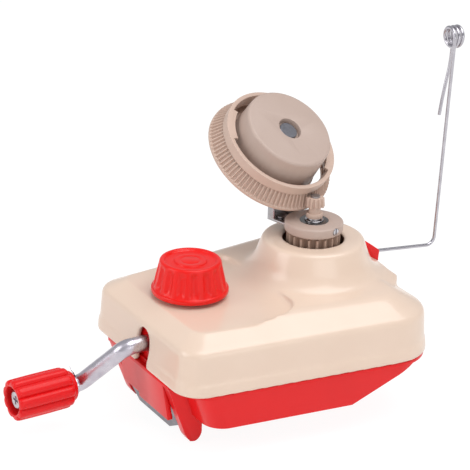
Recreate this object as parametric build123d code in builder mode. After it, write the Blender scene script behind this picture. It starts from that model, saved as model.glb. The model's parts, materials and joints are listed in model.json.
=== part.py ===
from build123d import *
from math import atan, cos, pi, radians, sin, sqrt, tan
import os

# Hand-operated yarn ball winder that clamps to a table edge.
# Frame: millimetres, +Z up, +X from the crank end to the turret end.
# The origin is on the flat underside that sits on the table.

# body plan
body_length = 155.0
crank_end_half_width = 55.0
turret_end_half_width = 72.5
crank_end_corner = 16.0
turret_end_corner = 26.0

# top cover
lip_height = 21.0
lip_band_height = 6.5
lip_band_proud = 0.8
cover_wall = 2.4
cover_top = 54.5
shoulder_height = 45.0
shoulder_inset = 2.6
crown_inset = 19.0
crown_crank_corner = 5.0
crown_turret_corner = 12.0
shoulder_radius = 4.5
crown_radius = 14.0
lane_depth = 3.0
lane_crank_half_width = 51.0
lane_turret_half_width = 41.5
lane_end = 0.0
lane_corner = 14.0
turret_x = 33.65
turret_top = 73.0
turret_foot_radius = 48.0
turret_flare_radius = 17.3
turret_skirt_angle = 70.0
turret_rim_radius = 2.5
turret_opening_radius = 17.0
slot_half_width = 6.0
slot_apex = 42.4
boss_radius = 5.0
boss_split = 30.0
boss_gap = 0.3
screw_places = [(-52.0, 42.0), (-52.0, -42.0), (-8.0, 52.0), (-8.0, -52.0), (52.0, 52.0), (52.0, -52.0)]
screw_radius = 1.5
screw_clear_radius = 1.7
screw_head_radius = 2.8
screw_head_height = 2.0
screw_bore_radius = 3.3
screw_seat = 22.0
screw_length = 17.0
screw_slot_width = 0.8
screw_slot_length = 4.0
screw_slot_depth = 0.9

# base shell
tub_inset = 2.5
ledge_inset = 1.1
ledge_thickness = 2.2
shelf_inset = 3.9
tub_wall = 2.2
tub_corner = 12.0
end_wall_lip_x = -68.0
end_wall_foot_x = -61.0
prow_foot_x = 21.5
prow_lip_x = 66.0
leg_offset = 31.0
leg_thickness = 6.0
leg_outline = [(-76.0, 19.5), (-69.5, 1.0), (-64.3, -13.0), (-60.0, -17.0), (-55.0, -13.4), (-55.0, 1.2),
               (-62.0, 19.5)]
leg_tip_radius = 3.6
leg_round_below = -8.0
housing_wall = 3.0
housing_top_x = -76.0
housing_foot_x = -72.2
housing_foot_z = -3.5
housing_half_width = 27.0
housing_step_y = 5.0
housing_step = 2.2
plate_face_x = -72.1
plate_thickness = 5.1
plate_y = (-14.0, 4.0)
plate_top = 41.0

# crank shaft
shaft_height = 33.5
shaft_slant = 2.57
rod_radius = 4.1
running_gap = 0.05
bush_wall = 1.6
bush_flange = 1.0
bush_recess = 0.6
shaft_end = 5.6
tower_far = 12.0
tower_near = 6.5
tower_half_width = 11.0
cap_rise = 7.5
cap_screw_pitch = 7.6
cap_screw_radius = 1.2
cap_screw_head_radius = 2.2
cap_screw_depth = 9.0
arm_distance = 120.5
arm_end = (-102.0, 17.62, 5.6)
arm_bend_radius = 7.0
grip_rod_length = 43.0
grip_start = 5.0
grip_length = 36.0
stop_radius = 5.4
stop_width = 1.2

# grip
grip_gap = 0.06
grip_end_gap = 0.3
grip_lobes = 9
grip_lobe_radius = 4.2
grip_lobe_circle = 7.2
grip_core_radius = 9.4
grip_nose_length = 5.0
grip_nose_radius = 8.2
grip_mouth_radius = 7.6
grip_mouth_depth = 6.0
grip_washer_radius = 6.2
grip_washer_thickness = 1.0
grip_screw_head_radius = 4.6
grip_screw_head_height = 2.6
grip_screw_radius = 2.0
grip_screw_depth = 10.0
cross_width = 1.1
cross_length = 5.0
cross_depth = 1.3

# gears between crank and turntable
turntable_teeth = 20
crown_teeth = 40
mesh_radius = 14.0
spur_addendum = 1.05
spur_dedendum = 1.8
spur_tooth_root = 1.9
spur_tooth_tip = 1.0
crown_inner = 25.8
crown_outer = 30.0
crown_root = 15.9
crown_tip = 13.1
crown_back = 18.6
crown_tooth_root = 1.6
crown_tooth_tip = 0.9
crown_hub_radius = 9.0
crown_hub_length = 8.0
pin_radius = 1.25
spur_bottom = 57.0
spur_top = 76.2
spur_hub_radius = 8.0
spur_hub_top = 82.0

# turntable
collar_radius = 16.3
collar_bottom = 77.1
collar_top = 82.8
collar_edge = 0.7
set_screw_radius = 2.0
set_screw_length = 5.0
bracket_thickness = 1.5
bracket_half_width = 10.0
bracket_foot_bottom = 77.9
bracket_foot_end = 26.0
bracket_plate_offset = 68.0
bracket_plate_end = 11.0
bracket_flange = 5.0
bracket_side_gap = 0.2
rivet_place = 20.6
rivet_spread = 5.0
rivet_radius = 1.4
rivet_head_radius = 2.4
rivet_head_height = 1.0

# fixed centre post and pinion
post_radius = 3.5
post_foot = 8.0
post_boss_radius = 7.5
post_boss_top = 26.0
post_spigot = 2.4
post_spigot_depth = 12.0
thrust_radius = 6.0
thrust_bottom = 54.2
thrust_top = 56.7
post_top = 84.6
pinion_teeth = 12
pinion_collar_radius = 4.6
pinion_collar_top = 87.4
pinion_neck_radius = 3.3
pinion_bottom = 90.8
pinion_top = 96.2
pinion_screw_radius = 1.5
pinion_screw_head_radius = 2.6
pinion_screw_head_height = 1.0

# spool wheel
apex_height = 158.6
wheel_tilt = 36.4
wheel_heading = -75.4
wheel_teeth = 90
bevel_addendum = 0.64
bevel_dedendum = 0.9
tooth_half_root = 0.62
tooth_half_tip = 0.3
tooth_front = 51.0
tooth_back = 58.5
wheel_lip = 45.4
wheel_lip_radius = 33.3
wheel_band_back = 51.2
wheel_inner_front = 31.0
wheel_inner_throat = 30.0
wheel_inner_back = 33.4
flange_front = 58.9
flange_back = 60.4
flange_radius = 37.7
web_front = 58.4
web_inner = 27.6
window_count = 4
window_span = 62.0
window_margin = 0.8
drum_front = 35.1
drum_radius = 25.5
drum_foot_radius = 26.9
drum_skin = 2.2
drum_round = 1.6
hub_recess_radius = 6.7
hub_recess_depth = 4.0
sleeve_radius = 6.2
tab_angles = (128.0, 308.0)
tab_span = 40.0
tab_inner = 28.4
tab_thickness = 1.5
axle_radius = 4.0
axle_head_radius = 5.2
axle_head_front = 36.8
axle_head_height = 1.6
axle_gap = 0.3
spacer_radius = 6.4
axle_tail_radius = 5.0
axle_tail = 1.6

# clamp
knob_x = -42.0
knob_y = 4.5
knob_height = 18.4
knob_flange_radius = 21.0
knob_flange_height = 2.6
knob_body_radius = 19.6
knob_top_radius = 16.8
knob_edge = 1.6
knob_flutes = 16
knob_flute_radius = 2.8
knob_flute_circle = 20.6
knob_dish_radius = 13.8
knob_dish_depth = 1.4
knob_disc_radius = 8.6
knob_disc_height = 0.6
knob_wall = 2.6
knob_hub_radius = 7.0
washer_radius = 11.0
washer_thickness = 2.0
thrust_gap = 0.3
clamp_screw_radius = 3.0
clamp_screw_bottom = 2.9
clamp_head_height = 5.0
clamp_head_across = 10.0
screw_clip_radius = 6.5
screw_clip_thickness = 1.2
foot_boss_radius = 6.0
foot_boss_top = 5.0
foot_bore_bottom = 2.4
arm_top = 25.1
arm_thickness = 2.5
arm_half_width = 8.0
arm_front_x = -34.0
web_face_x = -65.5
web_half_width = 26.0
web_shoulder_z = 1.0
web_foot_z = -13.5
web_corner = (9.0, 5.0)
web_hole = (-18.0, -6.4)
web_hole_radius = 2.0
jaw_front_x = -22.0
jaw_half_width = 12.0
jaw_corner = 4.0
pad_x = (-47.0, -25.0)
pad_half_width = 9.0
pad_thickness = 2.0
nut_across = 10.0
nut_height = 3.8
slot_gap = 0.6
jaw_travel = 17.0

# yarn guide
wire_radius = 1.0
wire_start = (68.6, 0.0, 56.69)
wire_corner = (118.5, 0.0, 52.0)
wire_top = (121.6, 0.0, 174.0)
wire_bend_radius = 5.0
loop_radius = 5.5
loop_quarters = 10
loop_pitch = 2.7
tail_end = (123.6, 11.0, 127.0)
socket_half_width = 5.5
socket_outline = [(62.0, 51.0), (62.0, 64.1), (68.5, 64.1), (75.9, 58.6), (75.6, 54.0), (74.3, 51.0)]
socket_gap = 0.06

os.makedirs("parts", exist_ok=True)


def save(part, name):
    """Label a finished piece and write it as one STEP file."""
    part.label = name
    export_step(part, "parts/" + name + ".step")


def unit(v):
    return Vector(*v).normalized()


# ------------------------------------------------------------ shared frames
shaft_dir = Vector(cos(radians(shaft_slant)), sin(radians(shaft_slant)), 0)
shaft = Plane(origin=(turret_x, 0, shaft_height), x_dir=(0, 0, 1), z_dir=shaft_dir)
heading = Vector(cos(radians(wheel_heading)), sin(radians(wheel_heading)), 0)
tilt = radians(wheel_tilt)
wheel_normal = heading * sin(tilt) + Vector(0, 0, cos(tilt))
wheel_low = heading * cos(tilt) - Vector(0, 0, sin(tilt))
apex = Vector(turret_x, 0, apex_height)
wheel_front_plane = Plane(origin=apex, x_dir=wheel_low, z_dir=wheel_normal * -1)
wheel_side_plane = Plane(origin=apex, x_dir=wheel_low, z_dir=wheel_low.cross(wheel_normal * -1))
wheel_axis = Axis(apex, wheel_normal * -1)
tooth_ratio = wheel_teeth / pinion_teeth
pinion_cone = sin(tilt) / (tooth_ratio + cos(tilt))
wheel_cone = tan(tilt - atan(pinion_cone))

tower_middle = apex - Vector(0, 0, apex_height) - shaft_dir * ((tower_far + tower_near) / 2)
across = Vector(-shaft_dir.Y, shaft_dir.X, 0)
cap_screw_places = [tuple(tower_middle + across * (side * cap_screw_pitch))[:2] for side in (-1, 1)]

wire_line_dir = unit((wire_corner[0] - wire_start[0], 0, wire_corner[2] - wire_start[2]))


def body_outline(inset):
    """Plan of the body, a trapezoid that is narrower at the crank end."""
    half_length = body_length / 2 - inset
    crank_half = crank_end_half_width - inset
    turret_half = turret_end_half_width - inset
    with BuildSketch() as outline:
        with BuildLine():
            Polyline((-half_length, -crank_half), (half_length, -turret_half),
                     (half_length, turret_half), (-half_length, crank_half), close=True)
        make_face()
        fillet(outline.vertices().group_by(Axis.X)[0], crank_end_corner - inset)
        fillet(outline.vertices().group_by(Axis.X)[-1], turret_end_corner - inset)
    return outline.sketch


def tooth_face(teeth, root_radius, tip_radius, half_root, half_tip, start):
    """Star outline of a gear: one straight-sided tooth per step, the first at the start angle."""
    points = []
    for tooth in range(teeth):
        middle = radians(start) + 2 * pi * tooth / teeth
        for side, radius, half in ((-1, root_radius, half_root), (-1, tip_radius, half_tip),
                                   (1, tip_radius, half_tip), (1, root_radius, half_root)):
            turn = side * half / radius
            points.append((radius * cos(middle + turn), radius * sin(middle + turn)))
    return points


# ================================================================ top cover
def crown_outline(inset):
    """Plan of the cover's raised middle, which has tighter corners than the body."""
    half_length = body_length / 2 - crown_inset - inset
    crank_half = crank_end_half_width - crown_inset - inset
    turret_half = turret_end_half_width - crown_inset - inset
    with BuildSketch() as outline:
        with BuildLine():
            Polyline((-half_length, -crank_half), (half_length, -turret_half),
                     (half_length, turret_half), (-half_length, crank_half), close=True)
        make_face()
        fillet(outline.vertices().group_by(Axis.X)[0], crown_crank_corner)
        fillet(outline.vertices().group_by(Axis.X)[-1], crown_turret_corner)
    return outline.sketch


def cover_form(inset):
    """Outer form of the cover, or its cavity when an inset is given."""
    top = cover_top - inset
    skirt = radians(turret_skirt_angle)
    flare = turret_flare_radius + inset
    floor = cover_top - lane_depth - inset
    flare_end = (turret_foot_radius - flare * sin(skirt), floor + flare - flare * cos(skirt))
    rim_height = turret_top - inset
    rim_radius = flare_end[0] - (rim_height - flare_end[1]) / tan(skirt)
    with BuildPart() as form:
        for low, low_height, high, high_height in (
                (body_outline(lip_band_proud + inset), lip_height - inset,
                 body_outline(shoulder_inset + inset), shoulder_height - inset),
                (body_outline(shoulder_inset + inset), shoulder_height - inset, crown_outline(inset), top)):
            with BuildSketch(Plane.XY.offset(low_height)):
                add(low)
            with BuildSketch(Plane.XY.offset(high_height)):
                add(high)
            loft(ruled=True)
        fillet(form.edges().group_by(Axis.Z)[-1], crown_radius)
        shoulder = form.edges().filter_by_position(Axis.Z, shoulder_height - inset - 0.01,
                                                   shoulder_height - inset + 0.01)
        fillet(shoulder, shoulder_radius)
        with BuildSketch(Plane.XY.offset(floor)) as lane:
            with BuildLine():
                Polyline((-body_length, -lane_crank_half_width - inset),
                         (-body_length / 2, -lane_crank_half_width - inset),
                         (lane_end + inset, -lane_turret_half_width - inset),
                         (lane_end + inset, lane_turret_half_width + inset),
                         (-body_length / 2, lane_crank_half_width + inset),
                         (-body_length, lane_crank_half_width + inset), close=True)
            make_face()
            fillet(lane.vertices().group_by(Axis.X)[-1], lane_corner)
        extrude(amount=turret_top, mode=Mode.SUBTRACT)
        with BuildSketch(Plane.XZ) as profile:
            with BuildLine():
                flare_start = (turret_x + turret_foot_radius, floor)
                flare_stop = (turret_x + flare_end[0], flare_end[1])
                rim = (turret_x + rim_radius, rim_height)
                foot = lip_height + inset
                Polyline(flare_stop, rim, (turret_x, rim_height), (turret_x, foot),
                         (turret_x + turret_foot_radius, foot), flare_start)
                RadiusArc(flare_start, flare_stop, flare)
            make_face()
            if not inset:
                fillet(profile.vertices().sort_by_distance(rim)[0], turret_rim_radius)
        revolve(axis=Axis((turret_x, 0, 0), (0, 0, 1)))
        if not inset:
            with BuildSketch(Plane.XY.offset(lip_height)):
                add(body_outline(0))
            extrude(amount=lip_band_height)
    # the turned turret stays inside the body's walls
    with BuildPart() as walls:
        with BuildSketch(Plane.XY.offset(lip_height - inset)):
            add(body_outline(inset))
        with BuildSketch(Plane.XY.offset(shoulder_height - inset)):
            add(body_outline(shoulder_inset + inset))
        loft(ruled=True)
        with BuildSketch(Plane.XY.offset(shoulder_height - inset)):
            add(body_outline(shoulder_inset + inset))
        extrude(amount=turret_top)
    return form.part & walls.part


cover_outer = cover_form(0)
cover_cavity = cover_form(cover_wall)
slot_y = -sin(radians(shaft_slant)) * (turret_x + body_length / 2)

with BuildPart() as cover_bosses:
    with BuildSketch(Plane.XY.offset(boss_split + boss_gap)):
        with Locations(*screw_places):
            Circle(boss_radius)
    extrude(amount=cover_top)
    add(cover_outer, mode=Mode.INTERSECT)

with BuildPart() as top_cover:
    add(cover_outer)
    add(cover_cavity, mode=Mode.SUBTRACT)
    add(cover_bosses.part)
    with BuildSketch(Plane.XY.offset(boss_split)):
        with Locations(*screw_places):
            Circle(screw_radius)
    extrude(amount=screw_seat + screw_length - boss_split, mode=Mode.SUBTRACT)
    with BuildSketch(Plane.XY.offset(cover_top)):
        with Locations((turret_x, 0)):
            Circle(turret_opening_radius)
    extrude(amount=turret_top, mode=Mode.SUBTRACT)
    with BuildSketch(Plane.XY.offset(lip_height)):
        with Locations((knob_x, knob_y)):
            Circle(clamp_screw_radius + slot_gap)
    extrude(amount=turret_top, mode=Mode.SUBTRACT)
    with BuildSketch(Plane.YZ.offset(-body_length)):
        with Locations((slot_y, slot_apex - slot_half_width)):
            Circle(slot_half_width)
        with Locations((slot_y, (slot_apex - slot_half_width) / 2)):
            Rectangle(2 * slot_half_width, slot_apex - slot_half_width)
    extrude(amount=body_length / 2 + 2 * cover_wall + lip_band_proud, mode=Mode.SUBTRACT)
    with BuildSketch(Plane(origin=wire_start, z_dir=wire_line_dir).offset(-wire_radius)):
        Circle(wire_radius + socket_gap)
    extrude(amount=4 * wire_bend_radius, mode=Mode.SUBTRACT)
save(top_cover.part, "top_cover")

# =============================================================== base shell
def tub_plan(end_x, inset, corner):
    """Plan of the tub at one height, whose crank end stands at the given place."""
    half_length = body_length / 2 - inset
    widening = (turret_end_half_width - crank_end_half_width) / body_length
    end_half = crank_end_half_width + widening * (end_x + body_length / 2) - inset
    turret_half = turret_end_half_width - inset
    with BuildSketch() as outline:
        with BuildLine():
            Polyline((end_x, -end_half), (half_length, -turret_half),
                     (half_length, turret_half), (end_x, end_half), close=True)
        make_face()
        fillet(outline.vertices().group_by(Axis.X)[0], corner)
        fillet(outline.vertices().group_by(Axis.X)[-1], turret_end_corner - inset)
    return outline.sketch


def tub_form(inset, floor):
    """Outside of the tub, or its cavity when a floor thickness is given."""
    with BuildPart() as form:
        with BuildSketch():
            add(tub_plan(end_wall_foot_x + floor, inset, tub_corner - floor))
        with BuildSketch(Plane.XY.offset(lip_height)):
            add(tub_plan(end_wall_lip_x + floor, inset, tub_corner - floor))
        loft(ruled=True)
        with BuildSketch(Plane.XZ):
            with BuildLine():
                Polyline((-body_length, lip_height), (-body_length, floor), (prow_foot_x - floor / 2, floor),
                         (prow_lip_x - 2 * floor, lip_height), close=True)
            make_face()
        extrude(amount=body_length, both=True, mode=Mode.INTERSECT)
    return form.part


tub_outer = tub_form(tub_inset, 0.0)
tub_inner = tub_form(tub_inset + tub_wall, tub_wall)

# bosses and bearing tower that stand on the tub floor, cut off along the prow slope
with BuildPart() as pillars:
    with BuildSketch(Plane.XY.offset(tub_wall / 2)):
        with Locations(*screw_places):
            Circle(boss_radius)
    extrude(amount=boss_split - tub_wall / 2)
    with BuildSketch(Plane.XY.offset(tub_wall / 2)):
        with Locations((turret_x, 0)):
            Circle(post_boss_radius)
    extrude(amount=post_boss_top - tub_wall / 2)
    with BuildSketch(Plane.XY.offset(tub_wall / 2)):
        with Locations((knob_x, knob_y)):
            Circle(foot_boss_radius)
    extrude(amount=foot_boss_top - tub_wall / 2)
    with BuildSketch(shaft.offset(-tower_far)):
        with Locations(((tub_wall / 2 - shaft_height) / 2, 0)):
            Rectangle(shaft_height - tub_wall / 2, 2 * tower_half_width)
    extrude(amount=tower_far - tower_near)
    with BuildSketch(Plane.XZ.offset(-body_length)):
        with BuildLine():
            Polyline((prow_foot_x, 0), (prow_lip_x, lip_height), (body_length, lip_height),
                     (body_length, -lip_height), (prow_foot_x, -lip_height), close=True)
        make_face()
    extrude(amount=2 * body_length, mode=Mode.SUBTRACT)

with BuildPart() as base_shell:
    add(tub_outer)
    # ledge under the cover's lip, drawn out to the crank end between the legs alone
    with BuildSketch(Plane.XY.offset(lip_height)):
        with Locations(((end_wall_lip_x - body_length / 2 + ledge_inset) / 2, 0)):
            Rectangle(body_length / 2 - ledge_inset + end_wall_lip_x, 2 * leg_offset + leg_thickness)
        add(tub_plan(end_wall_lip_x - tub_inset + ledge_inset, ledge_inset, tub_corner))
    extrude(amount=-ledge_thickness)
    # shelf inside the cover that closes the gap behind the crank end wall
    with BuildSketch(Plane.XY.offset(lip_height)):
        add(body_outline(shelf_inset))
        with Locations((end_wall_lip_x + tub_wall + body_length / 2, 0)):
            Rectangle(body_length, 2 * body_length, mode=Mode.SUBTRACT)
    extrude(amount=ledge_thickness)
    for middle in (-leg_offset, leg_offset):
        with BuildSketch(Plane.XZ.offset(middle - leg_thickness / 2)) as leg:
            with BuildLine():
                Polyline(*leg_outline, close=True)
            make_face()
            fillet(leg.vertices().filter_by(lambda corner: corner.Z < leg_round_below), leg_tip_radius)
        extrude(amount=leg_thickness)
    add(tub_inner, mode=Mode.SUBTRACT)
    for start, end, shift in ((-housing_half_width, housing_step_y, 0),
                              (housing_step_y, housing_half_width, housing_step)):
        with BuildSketch(Plane.XZ.offset(-end)):
            with BuildLine():
                Polyline((housing_top_x + shift, lip_height - ledge_thickness / 2),
                         (housing_top_x + shift + housing_wall, lip_height - ledge_thickness / 2),
                         (housing_foot_x + shift + housing_wall, housing_foot_z),
                         (housing_foot_x + shift, housing_foot_z), close=True)
            make_face()
        extrude(amount=end - start)
    with BuildSketch(Plane.XY.offset(lip_height - ledge_thickness)):
        with Locations((plate_face_x + plate_thickness / 2, sum(plate_y) / 2)):
            Rectangle(plate_thickness, plate_y[1] - plate_y[0])
    extrude(amount=plate_top - lip_height + ledge_thickness)
    add(pillars.part)
    # slot for the clamp hook through the end wall
    with BuildSketch(Plane.XY.offset(arm_top - arm_thickness - jaw_travel - slot_gap)):
        with Locations((web_face_x + (tub_wall + arm_thickness) / 2, knob_y)):
            Rectangle(arm_thickness + tub_wall + 2 * slot_gap, 2 * arm_half_width + 2 * slot_gap)
    extrude(amount=lip_height, mode=Mode.SUBTRACT)
    # bore for the clamp screw's foot
    with BuildSketch(Plane.XY.offset(foot_bore_bottom)):
        with Locations((knob_x, knob_y)):
            Circle(clamp_screw_radius + running_gap)
    extrude(amount=foot_boss_top, mode=Mode.SUBTRACT)
    # screw bores
    with BuildSketch():
        with Locations(*screw_places):
            Circle(screw_clear_radius)
    extrude(amount=boss_split + 1, mode=Mode.SUBTRACT)
    with BuildSketch(Plane.XY):
        with Locations(*screw_places):
            Circle(screw_bore_radius)
    extrude(amount=screw_seat, mode=Mode.SUBTRACT)
    # hole that holds the foot of the centre post
    with BuildSketch(Plane.XY.offset(post_spigot_depth)):
        with Locations((turret_x, 0)):
            Circle(post_spigot)
    extrude(amount=post_boss_top, mode=Mode.SUBTRACT)
    # bores for the crank shaft's two bearings
    with BuildSketch(shaft.offset(-2 * body_length)):
        Circle(rod_radius + running_gap + bush_wall)
    extrude(amount=2 * body_length - 2 * tower_far, mode=Mode.SUBTRACT)
    with BuildSketch(shaft.offset(-tower_far)):
        Circle(rod_radius + running_gap)
    extrude(amount=tower_far, mode=Mode.SUBTRACT)
    with BuildSketch(Plane.XY.offset(shaft_height - cap_screw_depth)):
        with Locations(*cap_screw_places):
            Circle(cap_screw_radius)
    extrude(amount=cap_screw_depth, mode=Mode.SUBTRACT)
save(base_shell.part, "base_shell")


# ============================================================= fixed pieces
def z_disc(radius, bottom, top, at, bore=0.0):
    """Upright disc, or ring when it has a bore."""
    with BuildPart() as disc:
        with BuildSketch(Plane.XY.offset(bottom)):
            with Locations(at):
                Circle(radius)
                if bore:
                    Circle(bore, mode=Mode.SUBTRACT)
        extrude(amount=top - bottom)
    return disc.part


def along(plane, start, end, radius, bore=0.0):
    """Round bar between two distances along a plane's normal, or a tube."""
    with BuildPart() as bar:
        with BuildSketch(plane.offset(start)):
            Circle(radius)
            if bore:
                Circle(bore, mode=Mode.SUBTRACT)
        extrude(amount=end - start)
    return bar.part


with BuildPart() as cover_screws:
    with BuildSketch(Plane.XY.offset(screw_seat - screw_head_height)):
        with Locations(*screw_places):
            Circle(screw_head_radius)
    extrude(amount=screw_head_height)
    with BuildSketch(Plane.XY.offset(screw_seat)):
        with Locations(*screw_places):
            Circle(screw_radius)
    extrude(amount=screw_length)
    with BuildSketch(Plane.XY.offset(screw_seat - screw_head_height)):
        with Locations(*screw_places):
            Rectangle(screw_slot_length, screw_slot_width)
            Rectangle(screw_slot_width, screw_slot_length)
    extrude(amount=screw_slot_depth, mode=Mode.SUBTRACT)
save(cover_screws.part, "cover_screws")

plate_near = -(turret_x - plate_face_x) / cos(radians(shaft_slant))
with BuildPart() as crank_bush:
    add(along(shaft, plate_near + bush_recess, plate_near + plate_thickness + bush_flange,
              rod_radius + running_gap + bush_wall, rod_radius + running_gap))
save(crank_bush.part, "crank_bush")

with BuildPart() as bearing_cap:
    with BuildSketch(shaft.offset(-tower_far)):
        with Locations((cap_rise / 2, 0)):
            Rectangle(cap_rise, 2 * tower_half_width)
        Circle(rod_radius + running_gap, mode=Mode.SUBTRACT)
    extrude(amount=tower_far - tower_near)
    with BuildSketch(Plane.XY.offset(shaft_height)):
        with Locations(*cap_screw_places):
            Circle(cap_screw_radius)
    extrude(amount=cap_rise, mode=Mode.SUBTRACT)
save(bearing_cap.part, "bearing_cap")

with BuildPart() as cap_screws:
    with BuildSketch(Plane.XY.offset(shaft_height - cap_screw_depth)):
        with Locations(*cap_screw_places):
            Circle(cap_screw_radius)
    extrude(amount=cap_screw_depth + cap_rise)
    with BuildSketch(Plane.XY.offset(shaft_height + cap_rise)):
        with Locations(*cap_screw_places):
            Circle(cap_screw_head_radius)
    extrude(amount=screw_head_height)
save(cap_screws.part, "cap_screws")

with BuildPart() as centre_post:
    add(z_disc(post_spigot, post_spigot_depth, post_boss_top, (turret_x, 0)))
    add(z_disc(post_radius, post_boss_top, post_top, (turret_x, 0)))
    add(z_disc(thrust_radius, thrust_bottom, thrust_top, (turret_x, 0)))
    add(z_disc(pinion_screw_radius, post_top - post_spigot_depth, post_top, (turret_x, 0)), mode=Mode.SUBTRACT)
save(centre_post.part, "centre_post")


# teeth run towards the apex, so each end face is the same star scaled to its distance
def bevel_teeth(plane, teeth, near, far, cone, start):
    """Straight bevel teeth between two distances from the apex."""
    with BuildPart() as teeth_part:
        for distance in (near, far):
            scale = distance / far
            with BuildSketch(plane.offset(distance)):
                pitch = distance * cone
                lift = scale * sqrt(1 + cone * cone)
                with BuildLine():
                    Polyline(*tooth_face(teeth, pitch - bevel_dedendum * lift, pitch + bevel_addendum * lift,
                                         tooth_half_root * scale, tooth_half_tip * scale, start), close=True)
                make_face()
        loft(ruled=True)
    return teeth_part.part


down_plane = Plane(origin=apex, x_dir=(-heading.X, -heading.Y, 0), z_dir=(0, 0, -1))
with BuildPart() as sun_pinion:
    add(bevel_teeth(down_plane, pinion_teeth, apex_height - pinion_top, apex_height - pinion_bottom,
                    pinion_cone, 180 / pinion_teeth))
    add(z_disc(pinion_neck_radius, pinion_collar_top, pinion_bottom, (turret_x, 0)))
    add(z_disc(pinion_collar_radius, post_top, pinion_collar_top, (turret_x, 0)))
    add(z_disc(pinion_screw_radius, post_top, pinion_top, (turret_x, 0)), mode=Mode.SUBTRACT)
save(sun_pinion.part, "sun_pinion")

with BuildPart() as pinion_screw:
    add(z_disc(pinion_screw_radius, post_top - post_spigot_depth, pinion_top, (turret_x, 0)))
    add(z_disc(pinion_screw_head_radius, pinion_top, pinion_top + pinion_screw_head_height, (turret_x, 0)))
save(pinion_screw.part, "pinion_screw")

with BuildPart() as clamp_washer:
    add(z_disc(washer_radius, cover_top - lane_depth, cover_top - lane_depth + washer_thickness,
               (knob_x, knob_y), clamp_screw_radius + slot_gap))
save(clamp_washer.part, "clamp_washer")

# ============================================================ crank and grip
arm_end_point = Vector(*arm_end)
grip_plane = Plane(origin=arm_end, x_dir=(0, 0, 1), z_dir=shaft_dir * -1)
grip_far = grip_start + grip_length - grip_mouth_depth
with BuildPart() as crank_rod:
    with BuildLine() as rod_line:
        FilletPolyline(tuple(shaft.origin - shaft_dir * shaft_end),
                       tuple(shaft.origin - shaft_dir * arm_distance), arm_end,
                       tuple(arm_end_point - shaft_dir * grip_far), radius=arm_bend_radius)
    with BuildSketch(Plane(origin=rod_line.line @ 0, z_dir=rod_line.line % 0)):
        Circle(rod_radius)
    sweep()
    add(along(grip_plane, grip_start - grip_end_gap - stop_width, grip_start - grip_end_gap, stop_radius))
    add(along(grip_plane, grip_far - grip_screw_depth, grip_far, grip_screw_radius), mode=Mode.SUBTRACT)
    with BuildSketch(Plane.XY.offset(shaft_height - crown_hub_radius)):
        with Locations(tuple(shaft.origin - shaft_dir * (crown_back + crown_hub_length / 2))[:2]):
            Circle(pin_radius)
    extrude(amount=2 * crown_hub_radius, mode=Mode.SUBTRACT)
save(crank_rod.part, "crank_rod")

with BuildPart() as crown_gear:
    add(along(shaft, -crown_back, -crown_root, crown_outer, rod_radius))
    add(along(shaft, -crown_back - crown_hub_length, -crown_back, crown_hub_radius, rod_radius))
    with BuildPart(mode=Mode.PRIVATE) as crown_tooth:
        for height, half in ((-crown_root, crown_tooth_root / 2), (-crown_tip, crown_tooth_tip / 2)):
            with BuildSketch(shaft.offset(height)):
                with Locations(((crown_inner + crown_outer) / 2, 0)):
                    Rectangle(crown_outer - crown_inner, 2 * half)
        loft(ruled=True)
    shaft_axis = Axis(shaft.origin, shaft.z_dir)
    for step in range(crown_teeth):
        add(crown_tooth.part.rotate(shaft_axis, step * 360 / crown_teeth))
    with BuildSketch(Plane.XY.offset(shaft_height - crown_hub_radius)):
        with Locations(tuple(shaft.origin - shaft_dir * (crown_back + crown_hub_length / 2))[:2]):
            Circle(pin_radius)
    extrude(amount=2 * crown_hub_radius, mode=Mode.SUBTRACT)
save(crown_gear.part, "crown_gear")

with BuildPart() as crown_pin:
    with BuildSketch(Plane.XY.offset(shaft_height - crown_hub_radius)):
        with Locations(tuple(shaft.origin - shaft_dir * (crown_back + crown_hub_length / 2))[:2]):
            Circle(pin_radius)
    extrude(amount=2 * crown_hub_radius)
save(crown_pin.part, "crown_pin")

with BuildPart() as crank_grip:
    with BuildSketch(grip_plane.offset(grip_start + grip_nose_length)):
        Circle(grip_core_radius)
        with PolarLocations(grip_lobe_circle, grip_lobes):
            Circle(grip_lobe_radius)
    extrude(amount=grip_length - grip_nose_length)
    add(along(grip_plane, grip_start, grip_start + grip_nose_length, grip_nose_radius))
    add(along(grip_plane, grip_start - 1, grip_far, rod_radius + grip_gap), mode=Mode.SUBTRACT)
    add(along(grip_plane, grip_far, grip_far + grip_mouth_depth, grip_mouth_radius), mode=Mode.SUBTRACT)
save(crank_grip.part, "crank_grip")

with BuildPart() as grip_washer:
    add(along(grip_plane, grip_far + grip_end_gap, grip_far + grip_end_gap + grip_washer_thickness,
              grip_washer_radius, grip_screw_radius))
save(grip_washer.part, "grip_washer")

with BuildPart() as grip_screw:
    head = grip_far + grip_end_gap + grip_washer_thickness
    add(along(grip_plane, grip_far - grip_screw_depth, head, grip_screw_radius))
    add(along(grip_plane, head, head + grip_screw_head_height, grip_screw_head_radius))
    with BuildSketch(grip_plane.offset(head + grip_screw_head_height)):
        Rectangle(cross_length, cross_width)
        Rectangle(cross_width, cross_length)
    extrude(amount=-cross_depth, mode=Mode.SUBTRACT)
save(grip_screw.part, "grip_screw")

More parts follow.
